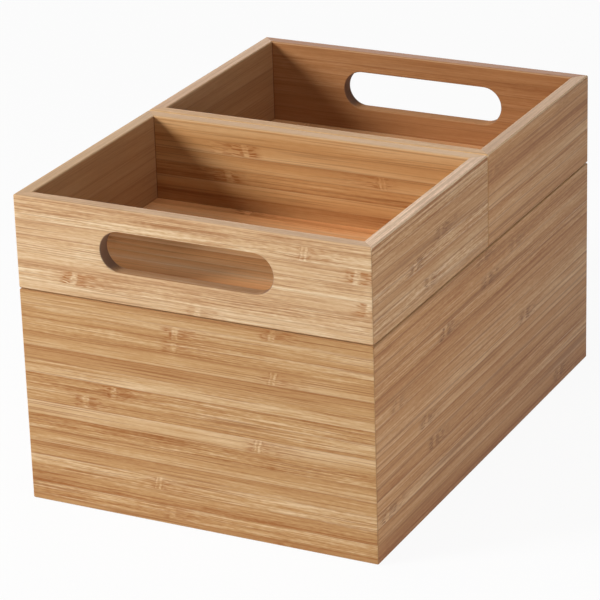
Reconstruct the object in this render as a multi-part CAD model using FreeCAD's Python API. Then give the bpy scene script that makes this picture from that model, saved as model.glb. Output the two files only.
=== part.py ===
import FreeCAD, Part
import os

# A set of three bamboo boxes: two equal trays stand side by side on the rim of a lower box.
# Each box is four mitred wall boards round a base board.
# The origin is the middle of the footprint on the table, +X right, +Y to the back, +Z up.

# Overall sizes in millimetres
box_width = 165.0  # outer width of all three boxes, left to right
box_depth = 234.0  # outer depth of the lower box, front to back
lower_height = 97.6  # lower box, table to rim
tray_height = 42.4  # tray, from the lower box's rim to its own
tray_gap = 0.3  # between the two trays

# Boards
wall = 6.2  # thickness of every wall board
easing = 0.7  # radius on rims, lower edges and upright corners
rebate_depth = 3.0  # how far a base board reaches into the walls
base_play = 0.2  # between a base board's edge and its rebate
lower_base_thickness = 5.0  # flush with the lower edges of its walls
tray_floor_rise = 3.4  # tray floor above the rim that the tray stands on

# How a tray stands on the lower box and finds its place there
shadow_gap = 0.4  # under the tray walls, because the tray stands on its base board
nest_drop = 1.6  # the middle of the base board reaches this far below the rim
nest_play = 0.8  # between that step and the walls of the lower box
nest_easing = 0.5  # chamfer round the step, so that it drops in

# Hand slot with round ends, one in each tray
slot_length = 80.0
slot_height = 18.0
slot_below_rim = 10.0  # rim to the slot's upper edge
slot_offset = 1.7  # off the middle, to the left seen from outside the tray
slot_easing = 0.6  # radius on the slot's edges

tray_depth = (box_depth - tray_gap) / 2
tray_centre = (tray_depth + tray_gap) / 2
cut_margin = 1.0  # how far cutting solids run past what they cut
tolerance = 0.001  # for finding edges by their place


def block(width, depth, bottom, top, centre_y):
    """A plain block centred on X, round centre_y, between two heights."""
    corner = FreeCAD.Vector(-width / 2, centre_y - depth / 2, bottom)
    return Part.makeBox(width, depth, top - bottom, corner)


def lies_at(edge, axis, value):
    """True if the whole edge lies where the coordinate along an axis has that value."""
    box = edge.BoundBox
    low = (box.XMin, box.YMin, box.ZMin)[axis]
    high = (box.XMax, box.YMax, box.ZMax)[axis]
    return abs(low - value) < tolerance and abs(high - value) < tolerance


def wall_frame(depth, bottom, height, rebate_height, centre_y):
    """The four walls of a box in one ring, with eased edges and the rebate for the base board."""
    top = bottom + height
    outer = block(box_width, depth, bottom, top, centre_y)
    inside = block(box_width - 2 * wall, depth - 2 * wall, bottom - cut_margin, top + cut_margin, centre_y)
    ring = outer.cut(inside)
    sides = ((0, -box_width / 2), (0, box_width / 2), (1, centre_y - depth / 2), (1, centre_y + depth / 2))
    eased = []
    for edge in ring.Edges:
        on_side = any(lies_at(edge, axis, value) for axis, value in sides)
        if lies_at(edge, 2, top) or on_side:
            eased.append(edge)
    ring = ring.makeFillet(easing, eased)
    reach = 2 * (wall - rebate_depth)
    rebate = block(box_width - reach, depth - reach, bottom - cut_margin, bottom + rebate_height, centre_y)
    return ring.cut(rebate)


def mitre_wedge(depth, bottom, height, centre_y, side):
    """The space between two mitre planes, for the wall on one side of a box."""
    reach = wall + cut_margin
    across = box_width if side in ("front", "back") else depth
    away = depth if side in ("front", "back") else box_width
    outer = (across / 2 + cut_margin, away / 2 + cut_margin)
    inner = (across / 2 - reach, away / 2 - reach)
    outline = [(-outer[0], -outer[1]), (outer[0], -outer[1]), (inner[0], -inner[1]), (-inner[0], -inner[1])]
    points = [FreeCAD.Vector(x, y, bottom - cut_margin) for x, y in outline]
    face = Part.Face(Part.makePolygon(points + points[:1]))
    wedge = face.extrude(FreeCAD.Vector(0, 0, height + 2 * cut_margin))
    turn = {"front": 0, "right": 90, "back": 180, "left": 270}[side]
    wedge.rotate(FreeCAD.Vector(0, 0, 0), FreeCAD.Vector(0, 0, 1), turn)
    wedge.translate(FreeCAD.Vector(0, centre_y, 0))
    return wedge


def mitred_walls(depth, bottom, height, rebate_height, centre_y):
    """The four wall boards of a box, by side, cut from one ring at the mitres."""
    ring = wall_frame(depth, bottom, height, rebate_height, centre_y)
    sides = ("front", "back", "left", "right")
    return {side: ring.common(mitre_wedge(depth, bottom, height, centre_y, side)).Solids[0] for side in sides}


def slot_prism(middle_x, middle_z, near_y, far_y):
    """A bar with round ends along X, running through a wall along Y."""
    radius = slot_height / 2
    straight = slot_length / 2 - radius
    left = middle_x - straight
    right = middle_x + straight
    top = middle_z + radius
    low = middle_z - radius

    def point(x, z):
        return FreeCAD.Vector(x, near_y, z)

    outline = [
        Part.makeLine(point(left, top), point(right, top)),
        Part.Arc(point(right, top), point(right + radius, middle_z), point(right, low)).toShape(),
        Part.makeLine(point(right, low), point(left, low)),
        Part.Arc(point(left, low), point(left - radius, middle_z), point(left, top)).toShape(),
    ]
    face = Part.Face(Part.Wire(outline))
    return face.extrude(FreeCAD.Vector(0, far_y - near_y, 0))


def cut_hand_slot(board, outer_y, facing, rim):
    """Cuts the hand slot through a tray's handle wall and eases its edges on both faces."""
    inner_y = outer_y - facing * wall
    low_y = min(outer_y, inner_y)
    high_y = max(outer_y, inner_y)
    middle_x = facing * slot_offset
    middle_z = rim - slot_below_rim - slot_height / 2
    board = board.cut(slot_prism(middle_x, middle_z, low_y - cut_margin, high_y + cut_margin))
    reach_x = slot_length / 2 + tolerance
    reach_z = slot_height / 2 + tolerance
    eased = []
    for edge in board.Edges:
        box = edge.BoundBox
        in_x = abs(box.XMin - middle_x) < reach_x and abs(box.XMax - middle_x) < reach_x
        in_z = abs(box.ZMin - middle_z) < reach_z and abs(box.ZMax - middle_z) < reach_z
        on_face = lies_at(edge, 1, low_y) or lies_at(edge, 1, high_y)
        if in_x and in_z and on_face:
            eased.append(edge)
    return board.makeFillet(slot_easing, eased).Solids[0]


def base_span(outer):
    """How long a base board is between two rebates in a box of that outer size."""
    return outer - 2 * (wall - rebate_depth) - 2 * base_play


def lower_box():
    """The deep box below: four walls and a flush base board."""
    walls = mitred_walls(box_depth, 0, lower_height, lower_base_thickness, 0)
    boards = {f"lower_{side}_wall": board for side, board in walls.items()}
    boards["lower_base"] = block(base_span(box_width), base_span(box_depth), 0, lower_base_thickness, 0)
    return boards


def tray_base(centre_y):
    """A base board whose thin rim stands on the lower box and whose step drops into it."""
    floor = lower_height + tray_floor_rise
    underside = lower_height - nest_drop
    rim = block(base_span(box_width), base_span(tray_depth), lower_height, floor, centre_y)
    inset = 2 * (wall + nest_play)
    step = block(box_width - inset, tray_depth - inset, underside, floor, centre_y)
    lead_in = [edge for edge in step.Edges if lies_at(edge, 2, underside)]
    return rim.fuse(step.makeChamfer(nest_easing, lead_in)).removeSplitter().Solids[0]


def tray(name, facing):
    """One tray. Facing is -1 with the hand slot at the front of the set and 1 at the back."""
    centre_y = facing * tray_centre
    bottom = lower_height + shadow_gap
    rebate_height = tray_floor_rise - shadow_gap
    walls = mitred_walls(tray_depth, bottom, tray_height - shadow_gap, rebate_height, centre_y)
    handle_side, inner_side = ("front", "back") if facing < 0 else ("back", "front")
    outer_y = facing * box_depth / 2
    return {
        f"{name}_handle_wall": cut_hand_slot(walls[handle_side], outer_y, facing, lower_height + tray_height),
        f"{name}_inner_wall": walls[inner_side],
        f"{name}_left_wall": walls["left"],
        f"{name}_right_wall": walls["right"],
        f"{name}_base": tray_base(centre_y),
    }


boards = {**lower_box(), **tray("front_tray", -1), **tray("back_tray", 1)}
os.makedirs("parts", exist_ok=True)
for node, shape in boards.items():
    shape.exportStep(f"parts/{node}.step")
    print(node, "valid" if shape.isValid() else "not valid", f"{shape.Volume:.0f} mm3")
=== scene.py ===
import math
import bmesh
import bpy
from mathutils import Matrix, Vector


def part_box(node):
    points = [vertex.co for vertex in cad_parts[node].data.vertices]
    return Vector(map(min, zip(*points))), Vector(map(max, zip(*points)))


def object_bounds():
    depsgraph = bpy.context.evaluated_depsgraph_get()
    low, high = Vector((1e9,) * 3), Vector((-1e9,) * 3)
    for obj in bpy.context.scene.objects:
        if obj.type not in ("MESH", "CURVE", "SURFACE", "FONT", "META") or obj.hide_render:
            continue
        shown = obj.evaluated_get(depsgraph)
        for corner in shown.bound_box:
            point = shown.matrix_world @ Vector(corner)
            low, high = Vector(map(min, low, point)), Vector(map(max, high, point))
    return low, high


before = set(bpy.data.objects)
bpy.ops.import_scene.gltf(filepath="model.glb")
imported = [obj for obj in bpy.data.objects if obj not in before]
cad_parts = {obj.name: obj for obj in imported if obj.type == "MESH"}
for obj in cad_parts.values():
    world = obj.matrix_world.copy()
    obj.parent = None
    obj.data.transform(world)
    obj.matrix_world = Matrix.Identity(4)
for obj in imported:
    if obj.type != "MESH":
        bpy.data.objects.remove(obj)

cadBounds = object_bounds()
mm = 0.001
print("frame loaded:", len(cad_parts), "boards")


def linearColour(hexText):
    channels = [int(hexText[i:i + 2], 16) / 255 for i in (1, 3, 5)]
    linear = [c / 12.92 if c <= 0.04045 else ((c + 0.055) / 1.055) ** 2.4 for c in channels]
    return (*linear, 1.0)


def addNode(tree, kind, inputs=(), output=0, **settings):
    node = tree.nodes.new("ShaderNode" + kind)
    for name, value in settings.items():
        setattr(node, name, value)
    for key, value in inputs.items() if isinstance(inputs, dict) else enumerate(inputs):
        if isinstance(value, bpy.types.NodeSocket):
            tree.links.new(value, node.inputs[key])
        else:
            node.inputs[key].default_value = value
    return node.outputs[output] if node.outputs else node


def setRamp(socket, stops, interpolation="LINEAR"):
    ramp = socket.node.color_ramp
    ramp.interpolation = interpolation
    while len(ramp.elements) > 1:
        ramp.elements.remove(ramp.elements[-1])
    for i, (position, colour) in enumerate(stops):
        stop = ramp.elements[0] if i == 0 else ramp.elements.new(position)
        stop.position = position
        stop.color = colour


mixColours = {"output": 2, "data_type": "RGBA"}       # Mix: share in 0, colours in 6 and 7
easeBoth = {"interpolation_type": "SMOOTHSTEP"}       # MapRange: soft at both ends

# Bamboo lumber, steamed to a honey brown, pressed side by side from split slats and satin lacquered.
# The eye gets level strips one slat thick, long straight fibres, a knuckle here and there and a soft sheen.
bamboo = {
    "tone": {  # mm along and across the grain, and weight in the tone
        "streak": (110.0, 2.6, 0.45),
        "fibre": (200.0, 0.9, 0.7),
        "thread": (22.0, 0.75, 0.85),
        "fleck": (3.5, 0.6, 0.5),
    },
    "lively": (0.5, 1.5),            # some strips are calm and some are full of fibres
    "drift": (120.0, 0.5),           # slow change of tone along a slat: mm, weight
    "slope": 0.3,                    # a slat is denser and darker towards its outer side
    "waver": (60.0, 5.0, 0.5),       # mm along, across and sideways: fibres are never quite straight
    "stagger": 900.0,                # mm, the most that one strip's fibres are moved along
    "vessel": (0.08, 0.2),           # noise where a vessel begins and where it is darkest
    "glueLine": 0.55,                # mm, half the width: hair lines, drawn wider so that they show
    "glueDrift": (-0.2, 0.15),       # drift where the glue is hidden and where it shows
    "mitreLine": (0.35, 0.6, 0.95),  # drawn wider too: mm, strength outside and in the inner corner, where the extra darkness is painted shade
    "innerFace": (5.0, 6.0),         # mm in from the outer face: where the inner look begins and is full
    "easedFacing": (0.8, 0.98),      # how squarely a surface faces out where it is eased and flat
    "easedWearAndHighlight": 0.15,               # how much paler an eased edge is, away from the rim: rubbed wear and painted highlight
    "rimEdge": (0.8, 1.4),           # mm below the rim: end of the rim's edge, start of the other edges
    "rimDepth": (0.1, 0.5),          # mm below the rim: where its plain colour begins to fade and ends
    "rimShare": 0.6,                 # of plain colour over the grain
    "rimTone": (0.2, 0.8),           # tone of the fibres that are darkest and palest on the rim
    "rimShade": (0.85, 1.15),        # and how dark and pale they are there
    "roughness": (0.5, 0.38),        # dark fibres are a little rougher than the pale wood between them
    "dull": 0.85,                    # roughness where it is rubbed or sawn
    "ior": 1.5,                      # lacquer
    "relief": (0.25, 0.08),          # strength and mm
    "markHeight": -0.4,              # vessels and glue lie lower than the wood
}
# Where a leaf grew, a slat has a scar with brown dashes, pale cells and a brown stain on both sides.
knuckle = {
    "reach": (8.0, 26.0),            # mm shown before and after the scar
    "within": (0.36, 0.5),           # strips from the strip's middle: where it begins to fade and ends
    "wobble": (5.0, 2.2, 0.9),       # mm along, across and sideways
    "lean": 1.4,                     # mm, from one side of the slat to the other
    "swirl": (5.0, 2.5, 1.4),        # mm along, across and sideways
    "swirlReach": (2.0, 12.0),       # mm from the scar: full and gone
    # mm along and across, noise where it begins and where it is full, least and most strength
    "dash": (4.5, 0.6, -0.02, 0.1, 0.0, 0.95),
    "cell": (2.0, 0.7, -0.06, 0.08, 0.0, 0.28),
    "stain": (6.0, 2.0, -0.12, 0.12, 0.13, 0.65),
    "placeSpan": 260.0,              # mm, range of the places in the boards' lists
    "chanceSpan": 3.4,               # the same by chance, in half lengths: many scars fall outside the board
    "knotChance": 0.6,               # share of knots by chance, and the rest are lines
    # mm from the scar: dashes, pale cells, stain
    "knot": [(-8, (0, 0, 0)), (-5, (0.5, 0, 0.3)), (-3.6, (1, 0.2, 0.7)), (-1.2, (1, 0.3, 0.7)),
             (-0.3, (0.4, 1, 0)), (1.7, (0.4, 1, 0)), (2.5, (0.9, 0.2, 0.9)), (5.0, (0.9, 0, 0.9)),
             (7.5, (0.8, 0, 0.4)), (13, (0.4, 0.1, 0.1)), (26, (0, 0, 0))],
    "line": [(-8, (0, 0, 0)), (-2.2, (0.6, 0, 0.3)), (-1.3, (0.2, 0, 1)), (-0.7, (0, 1, 0)),
             (-0.2, (0, 0, 0.4)), (0.5, (0, 0, 0.8)), (1.0, (0, 1, 0)), (1.6, (0, 0.6, 0)),
             (2.1, (0.3, 0, 1)), (3.2, (0.7, 0, 0.4)), (9, (0.4, 0, 0.1)), (26, (0, 0, 0))],
}
# The hand slot shows sawn wood, and at its round ends the dark cut fibres.
handSlot = {
    "easing": (0.6, 0.7),            # mm past its edges: the eased edge belongs to it
    "clear": 8.0,                    # mm at the board's ends that it stays away from
    "sawn": (0.2, 0.6, 0.6, 0.0),    # how squarely it faces out, sawn and flat, and the shares there
    "endGrain": (0.2, 0.6, 0.0, 0.9),  # the same along the grain, sawn and cut across
}


def boxOf(node):
    return next(name for name in ("lower", "front_tray", "back_tray") if node.startswith(name))


# Every wall is mapped to millimetres along its grain, in from its outer face and down from its rim.
def wallPlace(board):
    walls = [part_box(name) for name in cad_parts
             if name.startswith(boxOf(board["node"])) and name.endswith("wall")]
    low = Vector([min(box[0][i] for box in walls) for i in range(3)])
    high = Vector([max(box[1][i] for box in walls) for i in range(3)])
    centre, half = (low + high) / 2, (high - low) / 2
    halfLong, halfWide = (half.x, half.y) if board["side"] in ("front", "back") else (half.y, half.x)
    turn = math.radians({"front": 0, "right": -90, "back": 180, "left": 90}[board["side"]])
    shift = Matrix.Rotation(turn, 3, "Z") @ Vector((-centre.x, -centre.y, 0)) + Vector((0, halfWide, high.z))
    mapping = {"Location": shift / mm, "Rotation": (0, 0, turn), "Scale": (1 / mm, 1 / mm, -1 / mm)}
    return mapping, halfLong / mm


# A base board likewise, down from its upper face and back from its front edge.
def basePlace(board):
    low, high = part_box(board["node"])
    shift = Vector((0, high.z, -low.y))
    mapping = {"Location": shift / mm, "Rotation": (math.pi / 2, 0, 0), "Scale": (1 / mm,) * 3}
    return mapping, high.x / mm


# Noise round 0, drawn out along the grain.
def grainPattern(tree, place, along, across, detail=1.0):
    stretch = (1 / along, 1 / across, 1 / across)
    stretched = addNode(tree, "VectorMath", [place, stretch], operation="MULTIPLY")
    pattern = addNode(tree, "TexNoise", {"Vector": stretched, "Scale": 1.0, "Detail": detail})
    return addNode(tree, "Math", [pattern, 0.5], operation="SUBTRACT")


# Separate flecks of one of the knuckle's marks.
def markPattern(tree, place, mark, share=1.0, detail=0.0):
    along, across, begin, full, least, most = mark
    pattern = grainPattern(tree, place, along, across, detail)
    return addNode(tree, "MapRange", [pattern, begin, full, least * share, most * share])


# Where a point lies on its board, and how squarely its surface faces along the grain and out of the board.
def boardPoint(tree, board):
    mapping, half = basePlace(board) if board["side"] == "base" else wallPlace(board)
    coordinates = addNode(tree, "TexCoord").node.outputs
    place = addNode(tree, "Mapping", {"Vector": coordinates["Object"], **mapping})
    along, depth, across = addNode(tree, "SeparateXYZ", [place]).node.outputs
    normal = {"Vector": coordinates["Normal"], "Rotation": mapping["Rotation"]}
    facing = addNode(tree, "VectorRotate", normal, rotation_type="EULER_XYZ")
    facing = addNode(tree, "VectorMath", [facing], operation="ABSOLUTE")
    endOn, faceOn, rimOn = addNode(tree, "SeparateXYZ", [facing]).node.outputs
    flat = addNode(tree, "Math", [endOn, faceOn], operation="MAXIMUM")
    flat = addNode(tree, "Math", [flat, rimOn], operation="MAXIMUM")
    return {"place": place, "along": along, "depth": depth, "across": across, "half": half,
            "fromMiddle": addNode(tree, "Math", [along], operation="ABSOLUTE"),
            "endOn": endOn, "faceOn": faceOn,
            "eased": addNode(tree, "MapRange", [flat, *bamboo["easedFacing"], 1.0, 0.0])}


mostStrips = 32  # as many as a colour ramp has stops


# Tone of each strip, and its knuckle's place, strength and kind: from the board's lists, else by chance.
def stripFacts(tree, board, index, half):
    if "tones" in board:
        span = knuckle["placeSpan"]
        spot = addNode(tree, "Math", [index, 1 / mostStrips, 0.5 / mostStrips], operation="MULTIPLY_ADD")
        facts = addNode(tree, "ValToRGB", [spot])
        stops = []
        for strip, tone in enumerate(board["tones"]):
            place, strength, kind = board["knuckles"].get(strip, (0, 0, "knot"))
            values = (0.5 + tone / 2, 0.5 + place / span, strength, float(kind == "line"))
            stops.append((strip / mostStrips, values))
        setRamp(facts, stops, "CONSTANT")
        isLine = facts.node.outputs["Alpha"]
    else:
        span = knuckle["chanceSpan"] * half
        key = addNode(tree, "CombineXYZ", [index, float(board["seed"])])
        facts = addNode(tree, "TexWhiteNoise", [key], output=1)
        isLine = addNode(tree, "Math", [facts.node.outputs["Value"], knuckle["knotChance"]],
                         operation="GREATER_THAN")
    tone, scar, strength = addNode(tree, "SeparateColor", [facts]).node.outputs
    tone = addNode(tree, "Math", [tone, 0.5], operation="SUBTRACT")
    scar = addNode(tree, "Math", [scar, 0.5], operation="SUBTRACT")
    scar = addNode(tree, "Math", [scar, span], operation="MULTIPLY")
    return {"tone": tone, "scar": scar, "strength": strength, "isLine": isLine}


otherDraw = 3.0  # keeps these draws apart from the ones for the strips' facts


# Which strip a point lies in, how far from its middle, and how the wood differs from strip to strip.
def stripPoint(tree, board, point):
    count = addNode(tree, "Math", [point["across"], 1 / board["pitch"], board["cut"]],
                    operation="MULTIPLY_ADD")
    index = addNode(tree, "Math", [count], operation="FLOOR")
    inStrip = addNode(tree, "Math", [count], operation="FRACT")
    offMiddle = addNode(tree, "Math", [inStrip, 0.5], operation="SUBTRACT")
    strip = stripFacts(tree, board, index, point["half"])
    key = addNode(tree, "CombineXYZ", [index, float(board["seed"]), otherDraw])
    chance = addNode(tree, "TexWhiteNoise", [key], output=1)
    start, flip, lively = addNode(tree, "SeparateColor", [chance]).node.outputs
    begin = addNode(tree, "Math", [start, bamboo["stagger"], point["along"]], operation="MULTIPLY_ADD")
    driftPlace = addNode(tree, "CombineXYZ", [begin, 0.0, index])
    turned = addNode(tree, "Math", [flip, 0.5], operation="GREATER_THAN")
    turned = addNode(tree, "MapRange", [turned, 0.0, 1.0, -1.0, 1.0])
    strip["offMiddle"] = offMiddle
    strip["toMiddle"] = addNode(tree, "Math", [offMiddle], operation="ABSOLUTE")
    strip["begin"] = begin
    strip["drift"] = grainPattern(tree, driftPlace, bamboo["drift"][0], 1.0)
    strip["slope"] = addNode(tree, "Math", [offMiddle, turned], operation="MULTIPLY")
    strip["lively"] = addNode(tree, "MapRange", [lively, 0.0, 1.0, *bamboo["lively"]])
    if "inside" in board:
        calm = addNode(tree, "MapRange", [point["depth"], *bamboo["innerFace"], 1.0, board["inside"]])
        for name in ("tone", "slope", "lively"):
            strip[name] = addNode(tree, "Math", [strip[name], calm], operation="MULTIPLY")
    return strip


# Where a knuckle has dashes, pale cells and stain, by the distance from its scar.
def knuckleMasks(tree, place, fromScar, isLine):
    before, after = knuckle["reach"]
    along, across, sideways = knuckle["wobble"]
    wobble = grainPattern(tree, place, along, across)
    fromScar = addNode(tree, "Math", [wobble, 2 * sideways, fromScar], operation="MULTIPLY_ADD")
    spot = addNode(tree, "MapRange", [fromScar, -before, after, 0.0, 1.0])
    masks = []
    for profile in ("knot", "line"):
        mask = addNode(tree, "ValToRGB", [spot])
        setRamp(mask, [((at + before) / (before + after), (*shares, 1)) for at, shares in knuckle[profile]])
        masks.append(mask)
    mask = addNode(tree, "Mix", {0: isLine, 6: masks[0], 7: masks[1]}, **mixColours)
    return addNode(tree, "SeparateColor", [mask]).node.outputs


# The strip's knuckle, kept inside the strip, and how it swirls the fibres.
def knucklePoint(tree, point, strip):
    fromScar = addNode(tree, "Math", [point["along"], strip["scar"]], operation="SUBTRACT")
    fromScar = addNode(tree, "Math", [strip["offMiddle"], knuckle["lean"], fromScar],
                       operation="MULTIPLY_ADD")
    dashes, cells, stain = knuckleMasks(tree, point["place"], fromScar, strip["isLine"])
    within = addNode(tree, "MapRange", [strip["toMiddle"], *knuckle["within"], 1.0, 0.0], **easeBoth)
    within = addNode(tree, "Math", [within, strip["strength"]], operation="MULTIPLY")
    near = addNode(tree, "Math", [fromScar], operation="ABSOLUTE")
    near = addNode(tree, "MapRange", [near, *knuckle["swirlReach"], 1.0, 0.0], **easeBoth)
    swirl = grainPattern(tree, point["place"], *knuckle["swirl"][:2], 0.0)
    swirl = addNode(tree, "Math", [swirl, near], operation="MULTIPLY")
    swirl = addNode(tree, "Math", [swirl, within], operation="MULTIPLY")
    return {"dashes": dashes, "cells": cells, "stain": stain, "within": within, "swirl": swirl}


# Fibres start anew in each strip, waver a little and swirl round its knuckle.
def grainPlace(tree, point, strip, scar):
    along, across, sideways = bamboo["waver"]
    waver = grainPattern(tree, point["place"], along, across)
    bent = addNode(tree, "Math", [waver, 2 * sideways, point["across"]], operation="MULTIPLY_ADD")
    bent = addNode(tree, "Math", [scar["swirl"], knuckle["swirl"][2], bent], operation="MULTIPLY_ADD")
    return addNode(tree, "CombineXYZ", [strip["begin"], point["depth"], bent])


# Tone of the wood, from 0 for dark to 1 for pale.
def woodTone(tree, board, point, strip, scar, grain):
    tone = 0.0
    for along, across, weight in bamboo["tone"].values():
        fibres = grainPattern(tree, grain, along, across)
        tone = addNode(tree, "Math", [fibres, weight * board["fineness"], tone], operation="MULTIPLY_ADD")
    tone = addNode(tree, "Math", [tone, strip["lively"], 0.5], operation="MULTIPLY_ADD")
    weights = {"tone": board["contrast"], "slope": bamboo["slope"], "drift": bamboo["drift"][1]}
    for name, weight in weights.items():
        tone = addNode(tree, "Math", [strip[name], weight, tone], operation="MULTIPLY_ADD")
    cells = markPattern(tree, point["place"], knuckle["cell"], board["cells"])
    cells = addNode(tree, "Math", [cells, scar["cells"]], operation="MULTIPLY")
    return addNode(tree, "Math", [cells, scar["within"], tone], operation="MULTIPLY_ADD")


# Brown of the knuckles: dashes and stain.
def knotMarks(tree, scar, grain):
    dashes = markPattern(tree, grain, knuckle["dash"])
    dashes = addNode(tree, "Math", [scar["dashes"], dashes], operation="MULTIPLY")
    stain = markPattern(tree, grain, knuckle["stain"], detail=1.0)
    stain = addNode(tree, "Math", [scar["stain"], stain], operation="MULTIPLY")
    knots = addNode(tree, "Math", [dashes, stain], operation="MAXIMUM")
    return addNode(tree, "Math", [knots, scar["within"]], operation="MULTIPLY")


# Brown of the vessels, and of the glue between slats and in the mitres, darker in the inner corners as
# painted shade.
def lineMarks(tree, board, point, strip, grain):
    along, across, strength = board["vein"]
    veins = grainPattern(tree, grain, along, across, 0.0)
    marks = addNode(tree, "MapRange", [veins, *bamboo["vessel"], 0.0, strength])
    toGlue = addNode(tree, "Math", [0.5, strip["toMiddle"]], operation="SUBTRACT")
    glueWidth = bamboo["glueLine"] / board["pitch"]  # in strips
    glue = addNode(tree, "MapRange", [toGlue, 0.0, glueWidth, 1.0, 0.0], **easeBoth)
    patchy = addNode(tree, "MapRange", [strip["drift"], *bamboo["glueDrift"], 0.0, board["glue"]])
    glue = addNode(tree, "Math", [glue, patchy], operation="MULTIPLY")
    marks = addNode(tree, "Math", [marks, glue], operation="MAXIMUM")
    if board["side"] != "base":
        toMitre = addNode(tree, "Math", [point["half"], point["fromMiddle"]], operation="SUBTRACT")
        toMitre = addNode(tree, "Math", [toMitre, point["depth"]], operation="SUBTRACT")
        width, outside, inside = bamboo["mitreLine"]
        mitre = addNode(tree, "MapRange", [toMitre, 0.0, width, 1.0, 0.0])
        # Painted shade: the mitre line grows darker towards the inner corner.
        innerCornerShade = addNode(tree, "MapRange", [point["depth"], *bamboo["innerFace"], outside, inside])
        mitre = addNode(tree, "Math", [mitre, innerCornerShade], operation="MULTIPLY")
        marks = addNode(tree, "Math", [marks, mitre], operation="MAXIMUM")
    return marks


# Shares and colours of what lies over the grain: eased edges paler by wear and painted highlight, painted
# shade along the seam, a calmer rim.
def edgeLayers(tree, board, point, tone):
    # Eased edges paler: partly rubbed wear, partly painted highlight.
    wearAndHighlight = addNode(tree, "MapRange", [point["across"], *bamboo["rimEdge"],
                                      board["wearAndHighlight"], bamboo["easedWearAndHighlight"]])
    wearAndHighlight = addNode(tree, "Math", [point["eased"], wearAndHighlight], operation="MULTIPLY")
    layers = [(wearAndHighlight, linearColour(board["edge"]))]
    # Painted shade: a brown line darkens the eased edges where two boxes meet.
    if "seamShade" in board:
        begin, full, strength = board["seamShade"]
        seamShade = addNode(tree, "MapRange", [point["across"], begin, full, 0.0, strength])
        seamShade = addNode(tree, "Math", [seamShade, point["eased"]], operation="MULTIPLY")
        layers.append((seamShade, linearColour(board["mark"])))
    if board["side"] != "base":
        rim = addNode(tree, "MapRange", [point["across"], *bamboo["rimDepth"], bamboo["rimShare"], 0.0])
        fibres = addNode(tree, "MapRange", [tone, *bamboo["rimTone"], *bamboo["rimShade"]])
        rimColour = addNode(tree, "VectorMath", {0: linearColour(board["rim"])[:3], "Scale": fibres},
                            operation="SCALE")
        layers.append((rim, rimColour))
    return layers


# The same for sawn wood and end grain inside the hand slot.
def slotLayers(tree, board, point):
    top, low = board["slot"]
    near, far = handSlot["easing"]
    below = addNode(tree, "MapRange", [point["across"], top - far, top - near, 0.0, 1.0])
    above = addNode(tree, "MapRange", [point["across"], low + near, low + far, 1.0, 0.0])
    slot = addNode(tree, "Math", [below, above], operation="MULTIPLY")
    clear = addNode(tree, "Math", [point["fromMiddle"], point["half"] - handSlot["clear"]],
                    operation="LESS_THAN")
    slot = addNode(tree, "Math", [slot, clear], operation="MULTIPLY")
    layers = []
    for name, facing in (("sawn", "faceOn"), ("endGrain", "endOn")):
        share = addNode(tree, "MapRange", [point[facing], *handSlot[name]])
        share = addNode(tree, "Math", [share, slot], operation="MULTIPLY")
        layers.append((share, linearColour(board[name])))
    return layers


# A material for each board, because each has its own place, strips and knuckles.
def sidePressedBamboo(board):
    material = bpy.data.materials.new("sidePressedBamboo_" + board["node"])
    material.use_nodes = True
    tree = material.node_tree
    tree.nodes.clear()
    point = boardPoint(tree, board)
    strip = stripPoint(tree, board, point)
    scar = knucklePoint(tree, point, strip)
    grain = grainPlace(tree, point, strip, scar)
    tone = woodTone(tree, board, point, strip, scar, grain)
    knots = knotMarks(tree, scar, grain)
    marks = lineMarks(tree, board, point, strip, grain)
    cuts = slotLayers(tree, board, point) if "slot" in board else []

    colour = addNode(tree, "ValToRGB", [tone])
    setRamp(colour, [(0.0, linearColour(board["dark"])), (0.5, linearColour(board["body"])),
                     (1.0, linearColour(board["pale"]))])
    layers = [(knots, linearColour(board["knot"])), (marks, linearColour(board["mark"]))]
    for share, tint in layers + edgeLayers(tree, board, point, tone) + cuts:
        colour = addNode(tree, "Mix", {0: share, 6: colour, 7: tint}, **mixColours)

    dull = point["eased"]
    for share, tint in cuts:
        dull = addNode(tree, "Math", [dull, share], operation="ADD")
    rough = addNode(tree, "MapRange", [tone, 0.0, 1.0, *bamboo["roughness"]])
    rough = addNode(tree, "Mix", {0: dull, 2: rough, 3: bamboo["dull"]})
    raised = addNode(tree, "Math", [marks, bamboo["markHeight"], tone], operation="MULTIPLY_ADD")
    bump = addNode(tree, "Bump", {"Height": raised, "Strength": bamboo["relief"][0],
                                  "Distance": bamboo["relief"][1] * mm})
    shader = addNode(tree, "BsdfPrincipled", {"Base Color": colour, "Roughness": rough, "IOR": bamboo["ior"],
                                              "Specular IOR Level": board["gloss"], "Normal": bump})
    addNode(tree, "OutputMaterial", {"Surface": shader})
    return material


def dressBoard(board):
    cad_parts[board["node"]].material_slots[0].material = sidePressedBamboo(board)
    print("dressed", board["node"])


# Looks that boards share: honey, and how the others differ from it.
honey = {
    "dark": "#9F683A", "body": "#BF9564", "pale": "#DEC098",  # wood
    "mark": "#8B5128", "knot": "#995B2C",      # vessels and glue, also the painted shade of the seam and inner corners; knuckles
    "rim": "#CFA471", "edge": "#DFC098",       # plain rim, eased edges paler by wear and painted highlight
    "sawn": "#9F693A", "endGrain": "#816250",  # inside a hand slot
    "pitch": 6.4, "cut": 0.0,  # mm, height of a strip, and how much of the top one is cut away, in strips
    "contrast": 0.42,          # between strips
    "fineness": 0.95,          # strength of the fibres
    "vein": (60.0, 0.5, 0.5),  # vessels: mm along, across, strength. 0.2 mm, drawn coarser so that they show
    "cells": 1.0,              # strength of the pale cells in knuckles
    "glue": 0.45,              # strength of the lines between strips
    "wearAndHighlight": 0.7,               # how much paler the rim's edge is, by wear and painted highlight
    "gloss": 0.15,             # of the lacquer
}
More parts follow.
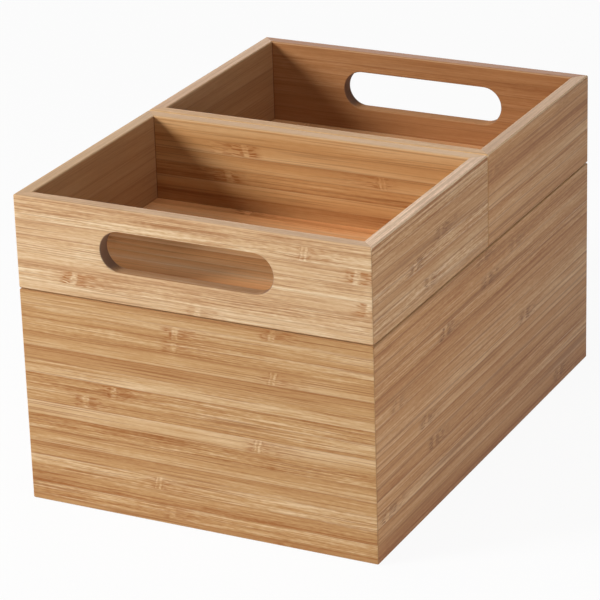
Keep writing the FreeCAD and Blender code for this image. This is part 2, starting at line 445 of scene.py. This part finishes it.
sand = {**honey, "dark": "#AC7D54", "body": "#CDA77D", "pale": "#E6CDA8", "mark": "#97633A",
        "knot": "#A3652F", "rim": "#DDB183", "fineness": 1.15, "contrast": 0.5}
russet = {**honey, "dark": "#945B2F", "body": "#B48250", "pale": "#CFA679", "mark": "#7B4920",
          "knot": "#7A4C24", "rim": "#D6B288", "edge": "#FBE4C2", "wearAndHighlight": 0.9, "cells": 0.35,
          "fineness": 0.9, "glue": 0.8, "vein": (150.0, 1.3, 0.5)}
clay = {**russet, "dark": "#996339", "body": "#B98D5F", "pale": "#D6B48E", "mark": "#7F4F28",
        "knot": "#7E512A", "rim": "#FFD7B0", "fineness": 1.25}
amber = {**honey, "dark": "#874E2B", "body": "#AE7A4D", "pale": "#C99C71", "mark": "#784320",
         "rim": "#AE6B2B"}
umber = {**honey, "dark": "#976844", "body": "#BF966C", "pale": "#DBBA93", "mark": "#83512E",
         "rim": "#CD9965", "inside": 0.23, "vein": (60.0, 0.7, 0.2)}
toffee = {**honey, "dark": "#95582B", "body": "#C3925D", "pale": "#E2BC8B", "mark": "#6B3E1C",
          "rim": "#D1A36F", "cells": 0.5, "fineness": 0.38, "contrast": 0.6, "vein": (60.0, 0.7, 0.3)}
tan = {**honey, "dark": "#B46D38", "body": "#EBAC72", "pale": "#F6D0A4", "fineness": 0.45, "glue": 0.3,
       "gloss": 0.03, "vein": (60.0, 0.7, 0.2)}

# What only some boards have:
# inside, how lively the wood is on the inner face, as a share of the outer one
# seam, painted shade: mm below the rim where the brown line between two boxes begins and is full, and its
# strength
# slot, mm below the rim of the hand slot's upper and lower edge
# tones, from -1 for dark to 1 for pale, strip by strip from the rim down
# knuckles, by strip: mm from the board's middle, strength, kind

# Lower box
lowerFront = {
    **honey, "node": "lower_front_wall", "side": "front", "seed": 3, "cut": 0.12,
    "wearAndHighlight": 0.0, "seamShade": (1.0, 0.5, 0.8),
    "tones": [-0.2, 0, 0.1, 0, -0.6, 0.5, -0.2, 0, 0.8, -0.4, 0, -0.2, 0.4, -0.7, -0.1, -0.3],
    "knuckles": {0: (36, 0.8, "knot"), 1: (-9, 0.9, "knot"), 2: (-10, 0.6, "knot"), 3: (36, 0.9, "line"),
                 6: (-40, 1, "knot"), 7: (-54, 0.8, "knot"), 8: (28, 1, "line"), 12: (-20, 0.9, "line"),
                 14: (-14, 0.5, "knot"), 15: (40, 0.5, "knot")},
}
lowerRight = {
    **russet, "node": "lower_right_wall", "side": "right", "seed": 8, "cut": 0.22,
    "wearAndHighlight": 0.0, "seamShade": (1.0, 0.5, 0.5),
    "tones": [0.3, -0.2, 0.1, 0.1, -0.5, 0.1, 0.6, 0.9, 0.6, 0, -0.3, 0.1, 0.7, 0, -0.6, -1],
    "knuckles": {0: (-6, 0.8, "knot"), 1: (29, 0.5, "knot"), 2: (-2, 0.9, "knot"), 3: (-47, 0.9, "knot"),
                 5: (-96, 0.5, "knot"), 7: (40, 0.9, "knot"), 8: (-68, 0.8, "knot"),
                 10: (-60, 0.9, "knot"), 12: (-108, 0.8, "knot"), 14: (81, 1, "knot")},
}
lowerLeft = {**honey, "node": "lower_left_wall", "side": "left", "seed": 21}
lowerBack = {**honey, "node": "lower_back_wall", "side": "back", "seed": 34}
lowerBase = {**amber, "node": "lower_base", "side": "base", "seed": 55}
for board in (lowerFront, lowerRight, lowerLeft, lowerBack, lowerBase):
    dressBoard(board)

# Front tray
frontHandle = {
    **sand, "node": "front_tray_handle_wall", "side": "front", "seed": 89, "pitch": 6.8, "cut": 0.5,
    "slot": (10, 28), "seamShade": (41.0, 41.5, 0.8),
    "tones": [-0.5, 0.3, 0.1, 0.1, 0.2, 0.1, 0.3],
    "knuckles": {1: (52, 0.9, "line"), 2: (75, 1, "knot"), 4: (80, 0.9, "knot"), 5: (-56, 1, "knot"),
                 6: (2, 0.5, "knot")},
}
frontInner = {
    **toffee, "node": "front_tray_inner_wall", "side": "back", "seed": 13, "cut": 0.8,
    "tones": [0, 0.35, 0.3, 0.05, -0.4, 0, -0.7],
    "knuckles": {2: (30, 1, "knot"), 3: (-36, 0.9, "line"), 4: (39, 0.9, "knot")},
}
frontRight = {
    **clay, "node": "front_tray_right_wall", "side": "right", "seed": 144, "pitch": 6.0, "cut": 0.7,
    "seamShade": (41.0, 41.5, 0.3),
    "tones": [0, 0.2, 0, -0.2, 0.3, -0.1, 0.2, -0.3],
    "knuckles": {3: (8, 0.9, "knot"), 4: (-18, 1, "knot"), 6: (-4, 0.8, "knot")},
}
frontLeft = {
    **umber, "node": "front_tray_left_wall", "side": "left", "seed": 233,
    "dark": "#916341", "body": "#B89067", "pale": "#D3B28D", "rim": "#EBBF8C",
    "tones": [0, 0.3, -0.1, 0.1, -0.3, 0, 0.2], "knuckles": {},
}
frontBase = {**tan, "node": "front_tray_base", "side": "base", "seed": 377}
for board in (frontHandle, frontInner, frontRight, frontLeft, frontBase):
    dressBoard(board)

# Back tray
backHandle = {
    **amber, "node": "back_tray_handle_wall", "side": "back", "seed": 610, "slot": (10, 28),
    "sawn": "#C98948", "inside": 0.45, "vein": (60.0, 0.7, 0.2),
    "tones": [0.1, -0.4, 0.2, 0.3, -0.2, 0.1, -0.3], "knuckles": {},
}
backInner = {**honey, "node": "back_tray_inner_wall", "side": "front", "seed": 987, "rim": "#EDBA7B"}
backRight = {
    **russet, "node": "back_tray_right_wall", "side": "right", "seed": 159, "rim": "#DBAE7D",
    "seamShade": (41.0, 41.5, 0.6),
}
backLeft = {
    **umber, "node": "back_tray_left_wall", "side": "left", "seed": 258,
    "tones": [0.2, 0, -0.3, 0.1, 0, -0.2, 0.1], "knuckles": {},
}
backBase = {
    **tan, "node": "back_tray_base", "side": "base", "seed": 418,
    "dark": "#A9632F", "body": "#DD9F67", "pale": "#E8C194",
}
for board in (backHandle, backInner, backRight, backLeft, backBase):
    dressBoard(board)


# Rays that meet the white studio itself: straight from the camera, or by way of gloss or glass.
def seenDirectly(tree):
    rays = addNode(tree, "LightPath").node.outputs
    seen = addNode(tree, "Math", [rays["Is Camera Ray"], rays["Is Glossy Ray"]], operation="MAXIMUM")
    return addNode(tree, "Math", [seen, rays["Is Transmission Ray"]], operation="MAXIMUM")


# White painted floor, evenly lit, with a faint shadow under the box.
floor = {"size": 6.0, "below": 0.0002, "colour": "#F0F0F0", "shadow": 0.07}  # metres, share of shadow


def whiteFloor():
    mesh = bpy.data.meshes.new("floor")
    shape = bmesh.new()
    bmesh.ops.create_grid(shape, x_segments=1, y_segments=1, size=floor["size"] / 2)
    shape.to_mesh(mesh)
    shape.free()
    plane = bpy.data.objects.new("floor", mesh)
    plane.location.z = cadBounds[0].z - floor["below"]
    bpy.context.scene.collection.objects.link(plane)
    material = bpy.data.materials.new("paintedFloor")
    material.use_nodes = True
    tree = material.node_tree
    tree.nodes.clear()
    matt = addNode(tree, "BsdfDiffuse", {"Color": linearColour(floor["colour"])})
    glow = addNode(tree, "Emission", {"Color": (1, 1, 1, 1), "Strength": 1.0})
    share = addNode(tree, "Math", [seenDirectly(tree), 1 - floor["shadow"]], operation="MULTIPLY")
    mixed = addNode(tree, "MixShader", [share, matt, glow])
    addNode(tree, "OutputMaterial", {"Surface": mixed})
    mesh.materials.append(material)


whiteFloor()


# Direction in degrees, round from the front towards the right, and up from level.
def towards(azimuth, elevation):
    turn, rise = math.radians(azimuth), math.radians(elevation)
    return Vector((math.sin(turn) * math.cos(rise), -math.cos(turn) * math.cos(rise), math.sin(rise)))


# Soft studio light: a key low at the front left, a softbox overhead, a wide lamp low behind the set,
# a small one near its right side, and pale surroundings. Degrees, metres, watts.
lamps = {
    "keyLight": {"azimuth": -45, "elevation": 24, "distance": 1.5, "size": 0.5, "watts": 20.4},
    "topLight": {"azimuth": 0, "elevation": 80, "distance": 1.3, "size": 0.8, "watts": 3.2},
    "backLight": {"azimuth": 195, "elevation": 14, "distance": 1.5, "size": 1.2, "watts": 6.8},
    "sideLight": {"azimuth": 72, "elevation": 7, "distance": 0.6, "size": 0.4, "watts": 1.3},
}
surroundings = {"colour": "#FFFFFF", "strength": 0.05}


def studioLight():
    middle = (cadBounds[0] + cadBounds[1]) / 2
    for name, lamp in lamps.items():
        data = bpy.data.lights.new(name, "AREA")
        data.shape = "DISK"
        data.size = lamp["size"]
        data.energy = lamp["watts"]
        direction = towards(lamp["azimuth"], lamp["elevation"])
        piece = bpy.data.objects.new(name, data)
        piece.location = middle + direction * lamp["distance"]
        piece.rotation_euler = direction.to_track_quat("Z", "Y").to_euler()
        bpy.context.scene.collection.objects.link(piece)
    world = bpy.data.worlds.new("studio")
    world.use_nodes = True
    tree = world.node_tree
    tree.nodes.clear()
    strength = addNode(tree, "Mix", {0: seenDirectly(tree), 2: surroundings["strength"], 3: 1.0})
    colour = linearColour(surroundings["colour"])
    white = addNode(tree, "Background", {"Color": colour, "Strength": strength})
    addNode(tree, "OutputWorld", {"Surface": white})
    bpy.context.scene.world = world


studioLight()
bpy.context.scene.view_settings.view_transform = "Standard"

# Camera as in the photograph, worked out from the corners of the set. Metres, degrees, and mm for the lens.
camera = {"place": (0.5657, -1.1298, 0.5777), "azimuth": 26.977, "elevation": 22.243, "roll": -1.843,
          "lens": 183.48, "sensor": 36.0}


def photoCamera():
    data = bpy.data.cameras.new("photoCamera")
    data.lens = camera["lens"]
    data.sensor_width = camera["sensor"]
    eye = bpy.data.objects.new("photoCamera", data)
    back = towards(camera["azimuth"], camera["elevation"])
    turn = back.to_track_quat("Z", "Y").to_matrix() @ Matrix.Rotation(math.radians(camera["roll"]), 3, "Z")
    eye.matrix_world = Matrix.Translation(camera["place"]) @ turn.to_4x4()
    bpy.context.scene.collection.objects.link(eye)
    bpy.context.scene.camera = eye


photoCamera()
print("floor, light and camera set")
